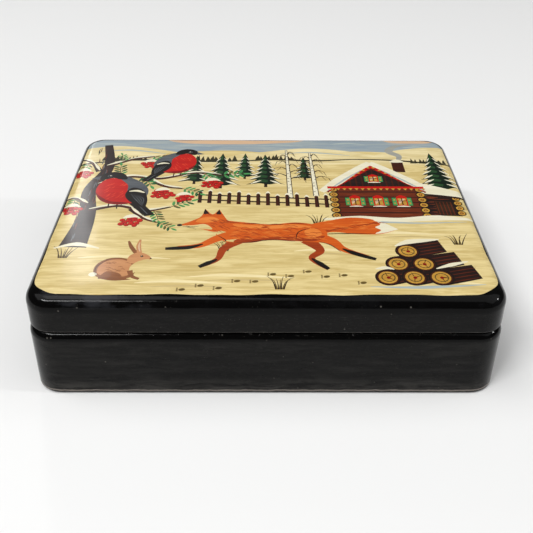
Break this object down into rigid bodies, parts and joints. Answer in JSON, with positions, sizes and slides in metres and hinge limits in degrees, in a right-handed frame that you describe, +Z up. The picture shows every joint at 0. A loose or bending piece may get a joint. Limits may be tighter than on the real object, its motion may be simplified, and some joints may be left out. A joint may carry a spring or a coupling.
{
  "type": "lacquer box",
  "caption": "Low rectangular lacquered papier-mache box with round corners, a hinged lid over an inner lip, and a painted panel that covers the lid.",
  "frame": {"origin": "middle of the underside, on the surface that the box stands on", "axes": "+Z up, +X along the box to the right, +Y to the hinged back"},
  "size_m": [0.15, 0.11, 0.038],
  "materials": {
    "lacquered_papier_mache": "gloss",
    "red_lacquered_papier_mache": "gloss",
    "painted_ground": "gloss",
    "hinge_brass": "satin",
    "pin_steel": "satin"
  },
  "bodies": {
    "base": {"base_wall": "lacquered_papier_mache", "base_bottom": "lacquered_papier_mache", "inner_sleeve": "red_lacquered_papier_mache", "base_knuckle_1": "hinge_brass", "base_knuckle_2": "hinge_brass", "base_knuckle_3": "hinge_brass", "base_knuckle_4": "hinge_brass", "hinge_pin": "pin_steel"},
    "lid": {"lid_wall": "lacquered_papier_mache", "lid_board": "lacquered_papier_mache", "picture_ground": "painted_ground", "lid_knuckle_1": "hinge_brass", "lid_knuckle_2": "hinge_brass", "lid_knuckle_3": "hinge_brass"}
  },
  "joints": [
    {"name": "lid_hinge", "type": "hinge", "parent": "base", "child": "lid", "pos_m": [0, 0.0532, 0.0251], "axis": [-1, 0, 0], "range_deg": [0, 100]}
  ]
}
